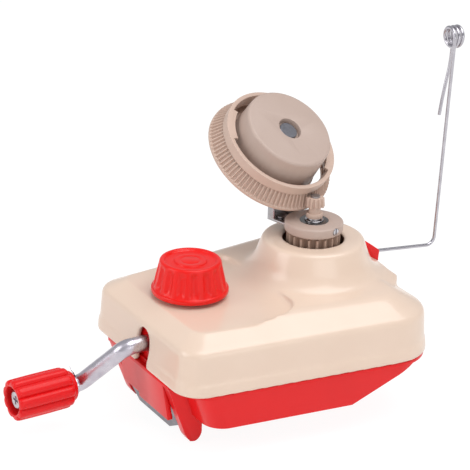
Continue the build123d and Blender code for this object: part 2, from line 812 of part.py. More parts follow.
# ================================================================= turntable
centre = (turret_x, 0)
with BuildPart() as driven_gear:
    with BuildSketch(Plane.XY.offset(spur_bottom)):
        with Locations(centre):
            with BuildLine(mode=Mode.PRIVATE) as spur_line:
                Polyline(*tooth_face(turntable_teeth, mesh_radius - spur_dedendum, mesh_radius + spur_addendum,
                                     spur_tooth_root / 2, spur_tooth_tip / 2,
                                     180 + shaft_slant + 180 / turntable_teeth), close=True)
            add(make_face(spur_line.line.edges(), mode=Mode.PRIVATE))
    extrude(amount=spur_top - spur_bottom)
    add(z_disc(spur_hub_radius, spur_top, spur_hub_top, centre))
    add(z_disc(post_radius + running_gap, spur_bottom, spur_hub_top, centre), mode=Mode.SUBTRACT)
save(driven_gear.part, "driven_gear")

set_screw_dir = Vector(cos(radians(wheel_heading)), sin(radians(wheel_heading)), 0)
screw_height = (bracket_foot_bottom + collar_top) / 2
set_screw_plane = Plane(origin=(turret_x, 0, screw_height), x_dir=(0, 0, 1), z_dir=set_screw_dir)
bracket_plane = Plane(origin=(turret_x, 0, 0), x_dir=heading * -1, z_dir=(0, 0, 1))
rivet_points = [(rivet_place, side * rivet_spread) for side in (-1, 1)]
with BuildPart() as turntable_collar:
    add(z_disc(collar_radius, collar_bottom, collar_top, centre, spur_hub_radius))
    chamfer(turntable_collar.edges().filter_by(GeomType.CIRCLE).sort_by(SortBy.RADIUS)[-2:], collar_edge)
    with BuildSketch(bracket_plane.offset(collar_bottom)):
        with Locations((collar_radius / 2, 0)):
            Rectangle(collar_radius, 2 * bracket_half_width)
    extrude(amount=bracket_foot_bottom + bracket_thickness - collar_bottom, mode=Mode.SUBTRACT)
    add(along(set_screw_plane, spur_hub_radius, collar_radius, set_screw_radius), mode=Mode.SUBTRACT)
save(turntable_collar.part, "turntable_collar")

with BuildPart() as set_screw:
    add(along(set_screw_plane, spur_hub_radius, spur_hub_radius + set_screw_length, set_screw_radius))
    with BuildSketch(set_screw_plane.offset(spur_hub_radius + set_screw_length)):
        Rectangle(2 * set_screw_radius, screw_slot_width)
    extrude(amount=-screw_slot_depth, mode=Mode.SUBTRACT)
save(set_screw.part, "set_screw")


# bracket profile in the upright plane through both axes: outwards, up
def plate_point(offset, outward):
    return (outward, apex_height - (offset - outward * sin(tilt)) / cos(tilt))


axle_out = bracket_plate_offset * sin(tilt)
tip_out = axle_out + bracket_plate_end * cos(tilt)
inner = bracket_plate_offset
outer = bracket_plate_offset + bracket_thickness
bracket_side = Plane(origin=(turret_x, 0, 0), x_dir=heading * -1, z_dir=(heading * -1).cross(Vector(0, 0, 1)))
top_of_foot = bracket_foot_bottom + bracket_thickness
bracket_points = [(spur_hub_radius, bracket_foot_bottom), (bracket_foot_end, bracket_foot_bottom),
                  plate_point(outer, bracket_foot_end), plate_point(outer, tip_out),
                  plate_point(inner, tip_out - bracket_thickness * sin(tilt)),
                  plate_point(inner, bracket_foot_end - bracket_thickness),
                  (bracket_foot_end - bracket_thickness, top_of_foot), (spur_hub_radius, top_of_foot)]
flange_points = [(bracket_foot_end - bracket_flange, bracket_foot_bottom), (bracket_foot_end, bracket_foot_bottom),
                 plate_point(outer, bracket_foot_end), plate_point(outer, tip_out),
                 plate_point(inner - bracket_flange, tip_out - bracket_flange * sin(tilt)),
                 plate_point(inner - bracket_flange, bracket_foot_end - bracket_flange)]
with BuildPart() as bracket:
    with BuildSketch(bracket_side):
        with BuildLine():
            Polyline(*bracket_points, close=True)
        make_face()
    extrude(amount=bracket_half_width, both=True)
    for side in (-1, 1):
        with BuildSketch(bracket_side.offset(side * (bracket_half_width - bracket_thickness / 2))):
            with BuildLine():
                Polyline(*flange_points, close=True)
            make_face()
        extrude(amount=bracket_thickness / 2, both=True)
    add(z_disc(spur_hub_radius, bracket_foot_bottom, top_of_foot, centre), mode=Mode.SUBTRACT)
    with BuildSketch(bracket_plane.offset(bracket_foot_bottom)):
        with Locations(*rivet_points):
            Circle(rivet_radius)
    extrude(amount=bracket_thickness, mode=Mode.SUBTRACT)
    add(along(wheel_front_plane, inner - bracket_thickness, outer + bracket_thickness, axle_radius),
        mode=Mode.SUBTRACT)
save(bracket.part, "bracket")

with BuildPart() as bracket_rivets:
    with BuildSketch(bracket_plane.offset(bracket_foot_bottom)):
        with Locations(*rivet_points):
            Circle(rivet_radius)
    extrude(amount=bracket_thickness)
    with BuildSketch(bracket_plane.offset(top_of_foot)):
        with Locations(*rivet_points):
            Circle(rivet_head_radius)
    extrude(amount=rivet_head_height)
save(bracket_rivets.part, "bracket_rivets")

with BuildPart() as wheel_axle:
    add(along(wheel_front_plane, axle_head_front, axle_head_front + axle_head_height, axle_head_radius))
    add(along(wheel_front_plane, axle_head_front + axle_head_height, outer, axle_radius))
    add(along(wheel_front_plane, outer, outer + axle_tail, axle_tail_radius))
save(wheel_axle.part, "wheel_axle")

with BuildPart() as axle_spacer:
    add(along(wheel_front_plane, flange_back + axle_gap, inner, spacer_radius, axle_radius))
save(axle_spacer.part, "axle_spacer")


# =============================================================== spool wheel
def turned(points, round_at=None, rounding=0.0):
    """Ring turned about the wheel axis from (radius, distance from the apex) points."""
    with BuildPart() as ring:
        with BuildSketch(wheel_side_plane) as outline:
            with BuildLine():
                Polyline(*points, close=True)
            make_face()
            if round_at:
                fillet(outline.vertices().sort_by_distance(wheel_side_plane.from_local_coords(round_at))[0],
                       rounding)
        revolve(axis=wheel_axis)
    return ring.part


root_lift = bevel_dedendum * sqrt(1 + wheel_cone * wheel_cone)
window_inner = drum_foot_radius + window_margin
window_outer = wheel_inner_back - window_margin
with BuildPart() as wheel_ring:
    add(bevel_teeth(wheel_front_plane, wheel_teeth, tooth_front, tooth_back, wheel_cone, 0))
    add(turned([(0, tooth_front - 1), (wheel_inner_throat, tooth_front - 1), (wheel_inner_throat, tooth_front),
                (wheel_inner_back, tooth_back), (wheel_inner_back, tooth_back + 1), (0, tooth_back + 1)]),
        mode=Mode.SUBTRACT)
    add(turned([(wheel_inner_throat, tooth_front), (wheel_inner_front, wheel_lip), (wheel_lip_radius, wheel_lip),
                (wheel_lip_radius, wheel_band_back), (tooth_front * wheel_cone - root_lift, tooth_front),
                (tooth_back * wheel_cone - root_lift, tooth_back), (wheel_inner_back, tooth_back)]))
    add(turned([(drum_foot_radius, web_front), (wheel_inner_back, tooth_back), (tooth_back * wheel_cone, tooth_back),
                (flange_radius, flange_front), (flange_radius, flange_back), (sleeve_radius, flange_back),
                (sleeve_radius, web_front)]))
    for middle in tab_angles:
        with BuildSketch(wheel_front_plane.offset(wheel_lip)):
            Circle(wheel_inner_front + tab_thickness / 2)
            Circle(tab_inner, mode=Mode.SUBTRACT)
            with BuildLine(mode=Mode.PRIVATE) as wedge:
                Polyline((0, 0),
                         (2 * flange_radius * cos(radians(middle - tab_span / 2)),
                          2 * flange_radius * sin(radians(middle - tab_span / 2))),
                         (2 * flange_radius * cos(radians(middle + tab_span / 2)),
                          2 * flange_radius * sin(radians(middle + tab_span / 2))), close=True)
            add(make_face(wedge.line.edges(), mode=Mode.PRIVATE), mode=Mode.INTERSECT)
        extrude(amount=tab_thickness)
    for window in range(window_count):
        with BuildSketch(wheel_front_plane.offset(web_front - 1)):
            Circle(window_outer)
            Circle(window_inner, mode=Mode.SUBTRACT)
            middle = (window + 0.5) * 360 / window_count
            with BuildLine(mode=Mode.PRIVATE) as wedge:
                Polyline((0, 0),
                         (2 * flange_radius * cos(radians(middle - window_span / 2)),
                          2 * flange_radius * sin(radians(middle - window_span / 2))),
                         (2 * flange_radius * cos(radians(middle + window_span / 2)),
                          2 * flange_radius * sin(radians(middle + window_span / 2))), close=True)
            add(make_face(wedge.line.edges(), mode=Mode.PRIVATE), mode=Mode.INTERSECT)
        extrude(amount=flange_back - web_front + 2, mode=Mode.SUBTRACT)
save(wheel_ring.part, "wheel_ring")

with BuildPart() as spool_drum:
    sleeve = axle_radius + running_gap
    floor_front = axle_head_front + axle_head_height + axle_gap
    floor_back = drum_front + drum_skin
    add(turned([(hub_recess_radius, drum_front), (drum_radius, drum_front), (drum_foot_radius, web_front),
                (drum_foot_radius - drum_skin, web_front), (drum_radius - drum_skin, floor_back),
                (sleeve_radius + drum_skin, floor_back), (sleeve_radius, floor_front + drum_skin),
                (sleeve_radius, flange_back), (sleeve, flange_back), (sleeve, floor_front),
                (hub_recess_radius, floor_front)], (drum_radius, drum_front, 0), drum_round))
save(spool_drum.part, "spool_drum")

# ===================================================================== clamp
knob_bottom = cover_top - lane_depth + washer_thickness + thrust_gap
knob_top = knob_bottom + knob_height
knob_at = (knob_x, knob_y)
head_bottom = knob_top - knob_dish_depth - knob_wall - clamp_head_height
with BuildPart() as clamp_knob:
    with BuildSketch(Plane.XY.offset(knob_bottom + knob_flange_height)):
        with Locations(knob_at):
            Circle(knob_body_radius)
    with BuildSketch(Plane.XY.offset(knob_top)):
        with Locations(knob_at):
            Circle(knob_top_radius)
    loft()
    fillet(clamp_knob.edges().group_by(Axis.Z)[-1], knob_edge)
    with BuildSketch(Plane.XY.offset(knob_bottom + knob_flange_height)):
        with Locations(knob_at):
            with PolarLocations(knob_flute_circle, knob_flutes):
                Circle(knob_flute_radius)
    extrude(amount=knob_height - 2 * knob_edge, mode=Mode.SUBTRACT)
    add(z_disc(knob_flange_radius, knob_bottom, knob_bottom + knob_flange_height, knob_at))
    add(z_disc(knob_dish_radius, knob_top - knob_dish_depth, knob_top, knob_at, knob_disc_radius),
        mode=Mode.SUBTRACT)
    add(z_disc(knob_disc_radius, knob_top - knob_disc_height, knob_top, knob_at), mode=Mode.SUBTRACT)
    add(z_disc(knob_dish_radius, knob_bottom, head_bottom + clamp_head_height, knob_at, knob_hub_radius),
        mode=Mode.SUBTRACT)
    add(z_disc(clamp_screw_radius, knob_bottom, head_bottom, knob_at), mode=Mode.SUBTRACT)
    with BuildSketch(Plane.XY.offset(head_bottom)):
        with Locations(knob_at):
            RegularPolygon(clamp_head_across / 2, 6, major_radius=False)
    extrude(amount=clamp_head_height, mode=Mode.SUBTRACT)
save(clamp_knob.part, "clamp_knob")

with BuildPart() as clamp_screw:
    add(z_disc(clamp_screw_radius, clamp_screw_bottom, head_bottom, knob_at))
    with BuildSketch(Plane.XY.offset(head_bottom)):
        with Locations(knob_at):
            RegularPolygon(clamp_head_across / 2, 6, major_radius=False)
    extrude(amount=clamp_head_height)
save(clamp_screw.part, "clamp_screw")

clip_top = cover_top - lane_depth - cover_wall - thrust_gap
with BuildPart() as screw_clip:
    add(z_disc(screw_clip_radius, clip_top - screw_clip_thickness, clip_top, knob_at, clamp_screw_radius))
save(screw_clip.part, "screw_clip")

arm_middle_x = (web_face_x + arm_front_x) / 2
with BuildPart() as clamp_jaw:
    with BuildSketch(Plane.XY.offset(arm_top)):
        with Locations((arm_middle_x, knob_y)):
            Rectangle(arm_front_x - web_face_x, 2 * arm_half_width)
        with Locations(knob_at):
            Circle(clamp_screw_radius + thrust_gap, mode=Mode.SUBTRACT)
    extrude(amount=-arm_thickness)
    with BuildSketch(Plane.YZ.offset(web_face_x)):
        with BuildLine():
            Polyline((-web_half_width, web_shoulder_z), (-web_half_width, web_foot_z + web_corner[1]),
                     (-web_half_width + web_corner[0], web_foot_z), (web_half_width - web_corner[0], web_foot_z),
                     (web_half_width, web_foot_z + web_corner[1]), (web_half_width, web_shoulder_z),
                     (knob_y + arm_half_width, web_shoulder_z), (knob_y + arm_half_width, arm_top),
                     (knob_y - arm_half_width, arm_top), (knob_y - arm_half_width, web_shoulder_z), close=True)
        make_face()
        with Locations(web_hole, (-web_hole[0], web_hole[1])):
            Circle(web_hole_radius, mode=Mode.SUBTRACT)
    extrude(amount=arm_thickness)
    with BuildSketch(Plane.XY.offset(web_foot_z)) as foot:
        with Locations(((web_face_x + jaw_front_x) / 2, 0)):
            Rectangle(jaw_front_x - web_face_x, 2 * jaw_half_width)
        fillet(foot.vertices().group_by(Axis.X)[-1], jaw_corner)
    extrude(amount=arm_thickness)
save(clamp_jaw.part, "clamp_jaw")

with BuildPart() as jaw_pad:
    with BuildSketch(Plane.XY.offset(web_foot_z + arm_thickness)) as pad_outline:
        with Locations((sum(pad_x) / 2, 0)):
            Rectangle(pad_x[1] - pad_x[0], 2 * pad_half_width)
        fillet(pad_outline.vertices(), jaw_corner / 2)
    extrude(amount=pad_thickness)
save(jaw_pad.part, "jaw_pad")

with BuildPart() as jaw_nut:
    with BuildSketch(Plane.XY.offset(arm_top)):
        with Locations(knob_at):
            RegularPolygon(nut_across / 2, 6, major_radius=False)
            Circle(clamp_screw_radius + running_gap, mode=Mode.SUBTRACT)
    extrude(amount=nut_height)
save(jaw_nut.part, "jaw_nut")

# ================================================================ yarn guide
with BuildPart() as guide_socket:
    with BuildSketch(Plane.XZ):
        with BuildLine():
            Polyline(*socket_outline, close=True)
        make_face()
    extrude(amount=socket_half_width, both=True)
    add(cover_outer, mode=Mode.SUBTRACT)
    with BuildSketch(Plane(origin=wire_start, z_dir=wire_line_dir).offset(-wire_radius)):
        Circle(wire_radius + socket_gap)
    extrude(amount=4 * socket_half_width, mode=Mode.SUBTRACT)
save(guide_socket.part, "guide_socket")


def wire_nodes():
    """Points and headings along the pigtail, a quarter turn apart."""
    top = Vector(*wire_top)
    middle = top + Vector(0, loop_radius, 0)
    nodes = [(top, Vector(0, 0, 1))]
    for quarter in range(1, loop_quarters + 1):
        angle = pi - quarter * pi / 2
        point = middle + Vector(loop_pitch * quarter / 4, loop_radius * cos(angle), loop_radius * sin(angle))
        flow = Vector(loop_pitch / (2 * pi), loop_radius * sin(angle), -loop_radius * cos(angle))
        nodes.append((point, flow.normalized()))
    return nodes


def arc_pair(start, flow_in, end, flow_out):
    """Two arcs that join two points and keep both headings."""
    chord = end - start
    both = flow_in + flow_out
    blunt = 2 * (1 - flow_in.dot(flow_out))
    along_both = chord.dot(both)
    if blunt < 1e-9:
        reach = chord.dot(chord) / (2 * along_both)
    else:
        reach = (sqrt(along_both ** 2 + blunt * chord.dot(chord)) - along_both) / blunt
    joint = (start + flow_in * reach + end - flow_out * reach) * 0.5
    first = TangentArc(start, joint, tangent=flow_in)
    second = TangentArc(joint, end, tangent=first % 1)
    return first, second


with BuildPart() as guide_wire:
    with BuildLine() as wire_line:
        FilletPolyline(wire_start, wire_corner, wire_top, radius=wire_bend_radius)
        nodes = wire_nodes()
        nodes[0] = (nodes[0][0], unit([t - c for t, c in zip(wire_top, wire_corner)]))
        for (start, flow_in), (end, flow_out) in zip(nodes, nodes[1:]):
            arc_pair(start, flow_in, end, flow_out)
        last, flow = nodes[-1]
        tail = Vector(*tail_end)
        Line(last, last + flow * 2 * wire_radius)
        tail_start = last + flow * 2 * wire_radius
        arc_pair(tail_start, flow, tail, (tail - tail_start).normalized())
    with BuildSketch(Plane(origin=wire_start, z_dir=wire_line_dir)):
        Circle(wire_radius)
    sweep()
save(guide_wire.part, "guide_wire")

# least distance between parts of the pigtail that lie more than a quarter turn apart
samples = [wire_line.line @ (0.55 + 0.45 * k / 900) for k in range(901)]
step = (samples[1] - samples[0]).length
apart = int(loop_radius * pi / 2 / step)
least = min((a - b).length for i, a in enumerate(samples) for b in samples[i + apart:])
print("pigtail least gap", round(least - 2 * wire_radius, 3))
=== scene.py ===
import json
import math

import bmesh
import bpy
from mathutils import Matrix, Vector

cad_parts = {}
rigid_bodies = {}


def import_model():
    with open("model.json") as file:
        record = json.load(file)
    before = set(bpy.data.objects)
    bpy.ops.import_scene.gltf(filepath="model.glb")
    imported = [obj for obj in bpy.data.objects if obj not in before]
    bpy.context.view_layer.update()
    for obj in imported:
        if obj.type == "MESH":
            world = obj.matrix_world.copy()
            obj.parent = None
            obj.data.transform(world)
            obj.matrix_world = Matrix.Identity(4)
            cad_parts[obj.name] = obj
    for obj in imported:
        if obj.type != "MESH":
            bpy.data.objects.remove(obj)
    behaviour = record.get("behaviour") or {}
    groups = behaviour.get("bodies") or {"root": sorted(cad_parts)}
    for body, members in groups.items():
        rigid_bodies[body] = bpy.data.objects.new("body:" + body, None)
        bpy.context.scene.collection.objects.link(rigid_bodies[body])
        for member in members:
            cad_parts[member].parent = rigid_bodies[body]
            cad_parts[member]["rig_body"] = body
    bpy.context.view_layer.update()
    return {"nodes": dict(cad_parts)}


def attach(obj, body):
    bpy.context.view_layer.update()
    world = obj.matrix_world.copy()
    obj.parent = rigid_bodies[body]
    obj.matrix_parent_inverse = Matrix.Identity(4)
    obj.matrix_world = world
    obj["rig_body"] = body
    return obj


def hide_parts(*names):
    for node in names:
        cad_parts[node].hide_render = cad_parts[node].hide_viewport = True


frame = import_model()

# ---------------------------------------------------------------- camera
# A product shot from above the crank end's near corner. The view direction is
# level with the object's own axes, with the small roll the picture has.
mm = 0.001
azimuth = math.radians(32.61)
elevation = math.radians(25.54)
roll = math.radians(2.283)
camera_distance = 1.0
target = Vector((0, 0, 21 * mm))
sideways = Vector((math.cos(azimuth), -math.sin(azimuth), 0))
forward = Vector((math.sin(azimuth) * math.cos(elevation), math.cos(azimuth) * math.cos(elevation),
                  -math.sin(elevation)))
upwards = sideways.cross(forward)
camera_data = bpy.data.cameras.new("camera")
camera_data.lens = 137.35
camera_data.sensor_width = 36.0
camera_data.shift_x = -0.0494
camera_data.shift_y = 0.2078
camera_data.clip_start = 0.05
camera_data.clip_end = 20.0
camera = bpy.data.objects.new("camera", camera_data)
bpy.context.scene.collection.objects.link(camera)
right = sideways * math.cos(roll) + upwards * math.sin(roll)
above = upwards * math.cos(roll) - sideways * math.sin(roll)
turn = Matrix((right, above, forward * -1)).transposed().to_4x4()
camera.matrix_world = Matrix.Translation(target - forward * camera_distance) @ turn
bpy.context.scene.camera = camera
bpy.context.scene.view_settings.view_transform = "Standard"


# ------------------------------------------------------- floor and studio
# A sheet of matt white paper under the winder, lit by two large soft boxes
# and a pale room. Only the camera and reflections see the pure white.
def from_hex(value, alpha=1.0):
    """An sRGB hex colour as the linear values that shaders use."""
    parts = [int(value[i:i + 2], 16) / 255 for i in (0, 2, 4)]
    linear = [p / 12.92 if p <= 0.04045 else ((p + 0.055) / 1.055) ** 2.4 for p in parts]
    return (*linear, alpha)


def add_node(tree, kind, settings=None, **links):
    """One shader node with its settings and the sockets that feed it."""
    node = tree.nodes.new(kind)
    for key, value in (settings or {}).items():
        if hasattr(node, key) and key not in node.inputs:
            setattr(node, key, value)
        else:
            node.inputs[key].default_value = value
    for key, socket in links.items():
        tree.links.new(socket, node.inputs[int(key[1:])] if key[0] == "n" and key[1:].isdigit()
                       else node.inputs[key.replace("_", " ")])
    return node


def new_material(name):
    material = bpy.data.materials.new(name)
    material.use_nodes = True
    material.node_tree.nodes.clear()
    return material, material.node_tree


paper, tree = new_material("white_paper")
path = add_node(tree, "ShaderNodeLightPath")
matt = add_node(tree, "ShaderNodeBsdfDiffuse", {"Color": from_hex("FBFAF8")})
lit = add_node(tree, "ShaderNodeEmission", {"Color": from_hex("FFFFFF"), "Strength": 1.08})
shadowed = add_node(tree, "ShaderNodeMixShader", {"Fac": 0.86}, n1=matt.outputs[0], n2=lit.outputs[0])
seen = add_node(tree, "ShaderNodeMath", {"operation": "MAXIMUM"}, n0=path.outputs["Is Camera Ray"],
                n1=path.outputs["Is Glossy Ray"])
whole = add_node(tree, "ShaderNodeMixShader", None, n0=seen.outputs[0], n1=matt.outputs[0], n2=shadowed.outputs[0])
add_node(tree, "ShaderNodeOutputMaterial", None, Surface=whole.outputs[0])
floor_height = -17.4 * mm
bpy.ops.mesh.primitive_plane_add(size=8.0, location=(0, 0, floor_height))
floor = bpy.context.object
floor.name = "floor"
floor.data.materials.append(paper)

world = bpy.data.worlds.new("room")
bpy.context.scene.world = world
world.use_nodes = True
tree = world.node_tree
tree.nodes.clear()
path = add_node(tree, "ShaderNodeLightPath")
room = add_node(tree, "ShaderNodeBackground", {"Color": from_hex("F4F6FA"), "Strength": 0.56})
white = add_node(tree, "ShaderNodeBackground", {"Color": from_hex("FFFFFF"), "Strength": 1.0})
seen = add_node(tree, "ShaderNodeMath", {"operation": "MAXIMUM"}, n0=path.outputs["Is Camera Ray"],
                n1=path.outputs["Is Transmission Ray"])
mixed = add_node(tree, "ShaderNodeMixShader", None, n0=seen.outputs[0], n1=room.outputs[0], n2=white.outputs[0])
add_node(tree, "ShaderNodeOutputWorld", None, Surface=mixed.outputs[0])


def soft_box(name, place, aim, size, power):
    """A square area lamp that points at a place on the object."""
    lamp = bpy.data.lights.new(name, "AREA")
    lamp.shape = "RECTANGLE"
    lamp.size, lamp.size_y = size
    lamp.energy = power
    holder = bpy.data.objects.new(name, lamp)
    bpy.context.scene.collection.objects.link(holder)
    holder.location = place
    holder.rotation_euler = (Vector(aim) - Vector(place)).to_track_quat("-Z", "Y").to_euler()


soft_box("top_box", (0.15, -0.25, 0.95), (0, 0, 0.03), (0.9, 0.7), 6.2)
soft_box("left_box", (-0.95, 0.15, 0.45), (0, 0, 0.05), (0.5, 0.7), 3.1)
soft_box("front_box", (-0.1, -1.1, 0.35), (0, 0, 0.04), (0.9, 0.4), 1.9)


# --------------------------------------------------------------- top cover
# The cover is one thin injection moulding in cream ABS from a polished tool.
# It drops over the tub and is held by six screws driven up from below. Its
# creases are eased as the mould leaves them, and the colour drifts a little.
def plastic(name, colour, shade, rough, coat, grain_mm, bump=0.0, drift_mm=22.0, sheen=0.5):
    """Moulded plastic: a slow drift of colour, patches of gloss and a fine skin."""
    material, tree = new_material(name)
    place = add_node(tree, "ShaderNodeTexCoord").outputs["Object"]
    drift = add_node(tree, "ShaderNodeTexNoise", {"Scale": 1 / (drift_mm * mm), "Detail": 2.0}, Vector=place)
    tone = add_node(tree, "ShaderNodeMix", {"data_type": "RGBA"}, n0=drift.outputs[0])
    tone.inputs[6].default_value = from_hex(colour)
    tone.inputs[7].default_value = from_hex(shade)
    gloss = add_node(tree, "ShaderNodeTexNoise", {"Scale": 1 / (8 * mm), "Detail": 1.0}, Vector=place)
    spread = add_node(tree, "ShaderNodeMapRange", {"From Min": 0.3, "From Max": 0.7, "To Min": rough * 0.97,
                                                    "To Max": rough * 1.03}, Value=gloss.outputs[0])
    grain = add_node(tree, "ShaderNodeTexNoise", {"Scale": 1 / (grain_mm * mm), "Detail": 2.0}, Vector=place)
    relief = add_node(tree, "ShaderNodeBump", {"Strength": bump, "Distance": 0.02 * mm}, Height=grain.outputs[0])
    shader = add_node(tree, "ShaderNodeBsdfPrincipled", {"IOR": 1.5, "Coat Weight": coat, "Coat Roughness": 0.1,
                                                           "Specular IOR Level": sheen},
                      Base_Color=tone.outputs[2], Roughness=spread.outputs[0], Normal=relief.outputs[0])
    add_node(tree, "ShaderNodeOutputMaterial", None, Surface=shader.outputs[0])
    return material


def copied(node, name):
    """A joined copy of a part's mesh as an object of its own, selected for editing."""
    mesh = frame["nodes"][node].data.copy()
    mesh.materials.clear()
    piece = bpy.data.objects.new(name, mesh)
    bpy.context.scene.collection.objects.link(piece)
    form = bmesh.new()
    form.from_mesh(mesh)
    bmesh.ops.remove_doubles(form, verts=form.verts, dist=0.002 * mm)
    form.to_mesh(mesh)
    form.free()
    bpy.ops.object.select_all(action="DESELECT")
    bpy.context.view_layer.objects.active = piece
    piece.select_set(True)
    return piece


def stands_for(piece, node, material):
    """Finish, body and material slot of a piece that takes one part's place."""
    piece.data.materials.append(material)
    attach(piece, frame["nodes"][node]["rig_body"])
    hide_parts(node)


cream_abs = plastic("cream_glossy_abs", "E3CCB9", "DEC5B1", 0.30, 0.3, 1.5)
cover = copied("top_cover", "cream_cover")
net = cover.modifiers.new("net", "REMESH")
net.mode = "VOXEL"
net.voxel_size = 0.95 * mm
bpy.ops.object.modifier_apply(modifier="net")
easing = cover.modifiers.new("easing", "SMOOTH")
easing.factor = 0.5
easing.iterations = 5
bpy.ops.object.modifier_apply(modifier="easing")
bpy.ops.object.shade_smooth()
stands_for(cover, "top_cover", cream_abs)


# --------------------------------------------------------------- red tub
# The lower half is a red ABS moulding: tub, two legs that steady the clamp,
# a housing for the hook and the plate that carries the crank's bearing.
def dressed(node, name, material, edge=0.3, angle=28.0, segments=2, shaped=None):
    """A copy of a part with its faces joined and its edges rounded by a few tenths."""
    piece = copied(node, name)
    mesh = piece.data
    form = bmesh.new()
    form.from_mesh(mesh)
    bmesh.ops.dissolve_limit(form, angle_limit=math.radians(0.6), verts=form.verts, edges=form.edges)
    if shaped:
        shaped(form)
    form.to_mesh(mesh)
    form.free()
    if edge:
        rounding = piece.modifiers.new("rounding", "BEVEL")
        rounding.width = edge * mm
        rounding.segments = segments
        rounding.limit_method = "ANGLE"
        rounding.angle_limit = math.radians(angle)
        rounding.use_clamp_overlap = False
        rounding.miter_outer = "MITER_ARC"
        bpy.ops.object.modifier_apply(modifier="rounding")
    bpy.ops.object.shade_smooth_by_angle(angle=math.radians(angle))
    stands_for(piece, node, material)
    return piece


red_abs = plastic("red_glossy_abs", "E51316", "DB1013", 0.30, 0.0, 1.5, sheen=0.3)
leg_tip_below, leg_inner_side, leg_tip_round = -10 * mm, 27 * mm, 3.2 * mm


def round_leg_tips(form):
    """The corners across each leg's lower end become one round tip."""
    tips = [edge for edge in form.edges
            if all(v.co.z < leg_tip_below and abs(v.co.y) > leg_inner_side for v in edge.verts)
            and abs(edge.verts[0].co.y - edge.verts[1].co.y) > 5 * mm]
    bmesh.ops.bevel(form, geom=tips, offset=leg_tip_round, segments=5, affect="EDGES", profile=0.5,
                    clamp_overlap=True)


tub = dressed("base_shell", "red_tub", red_abs, 0.25, shaped=round_leg_tips)


# ------------------------------------------------------------ cover screws
# Six bought-in pan-head screws of plated steel, sunk in deep bores under the
# tub. They show only from below.
def plated(name, colour, shade, rough, smudge_mm, bump=0.2):
    """Plated or bare steel with smudges and the fine unevenness of a drawn surface."""
    material, tree = new_material(name)
    place = add_node(tree, "ShaderNodeTexCoord").outputs["Object"]
    cloud = add_node(tree, "ShaderNodeTexNoise", {"Scale": 1 / (smudge_mm * mm), "Detail": 4.0}, Vector=place)
    tone = add_node(tree, "ShaderNodeMix", {"data_type": "RGBA"}, n0=cloud.outputs[0])
    tone.inputs[6].default_value = from_hex(colour)
    tone.inputs[7].default_value = from_hex(shade)
    spread = add_node(tree, "ShaderNodeMapRange", {"From Min": 0.3, "From Max": 0.7, "To Min": rough * 0.7,
                                                    "To Max": rough * 1.4}, Value=cloud.outputs[0])
    fine = add_node(tree, "ShaderNodeTexNoise", {"Scale": 1 / (0.5 * mm), "Detail": 2.0}, Vector=place)
    relief = add_node(tree, "ShaderNodeBump", {"Strength": bump, "Distance": 0.02 * mm}, Height=fine.outputs[0])
    shader = add_node(tree, "ShaderNodeBsdfPrincipled", {"Metallic": 1.0}, Base_Color=tone.outputs[2],
                      Roughness=spread.outputs[0], Normal=relief.outputs[0])
    add_node(tree, "ShaderNodeOutputMaterial", None, Surface=shader.outputs[0])
    return material


def finish_node(node, material):
    """A part whose own mesh is right only takes a better material."""
    mesh = frame["nodes"][node].data
    if not mesh.materials:
        mesh.materials.append(material)
    for index in range(len(mesh.materials)):
        mesh.materials[index] = material


plain_steel = plated("plated_steel", "B3B0B2", "8A8789", 0.36, 4.0)
finish_node("cover_screws", plain_steel)

# ----------------------------------------------------------- crank rod
# A bent 8 mm steel rod with bright zinc plating. Bending and handling leave
# soft smudges that blur its reflections.
bright_rod = plated("bright_plated_rod", "DAD6DC", "B4AEBA", 0.30, 6.0, 0.35)
rod = dressed("crank_rod", "bent_rod", bright_rod, 0.3)
swell, swell_start, swell_full, grip_side = 0.5 * mm, -78 * mm, -84 * mm, -105.5
outward_by_vertex = [vertex.normal.copy() for vertex in rod.data.vertices]
for vertex, outward in zip(rod.data.vertices, outward_by_vertex):
    share = min(1.0, max(0.0, (swell_start - vertex.co.x) / (swell_start - swell_full)))
    if vertex.co.x > grip_side * mm:
        vertex.co += outward * (swell * share)

# ------------------------------------------------------- crank bearings
# A red bush in the end plate and a saddle with a screwed cap inside the body
# carry the crank rod. The two cap screws are plated steel.
finish_node("crank_bush", red_abs)
finish_node("bearing_cap", red_abs)
finish_node("cap_screws", plain_steel)

# ------------------------------------------------------------ crown gear
# The moulded acetal face gear on the crank rod, fixed by a steel cross pin.
# It drives the turntable's gear and is inside the cover.
gear_acetal = plastic("beige_acetal", "CCB2A3", "C1A797", 0.5, 0.0, 0.9, 0.25)
finish_node("crown_gear", gear_acetal)
finish_node("crown_pin", plain_steel)

# --------------------------------------------------- centre post and pinion
# A fixed steel post rises through the turntable. Its beige acetal pinion
# stays still, so the spool wheel rolls round it. A screw holds it down.
post_steel = plated("polished_post_steel", "C6C3C5", "8E8A8C", 0.24, 3.0)
post = dressed("centre_post", "fixed_post", post_steel, 0.2)
pinion = dressed("sun_pinion", "fixed_pinion", gear_acetal, 0.15)
finish_node("pinion_screw", plain_steel)

# ------------------------------------------------------------- drive gear
# The turntable's moulded spur gear, whose teeth show in the turret's mouth.
# The darker beige is painted shade for the teeth deep in the turret's mouth.
gear_shade = plastic("shaded_beige_acetal", "B79A88", "A98B79", 0.5, 0.0, 0.9, 0.25)
gear = dressed("driven_gear", "drive_gear", gear_shade, 0.15)

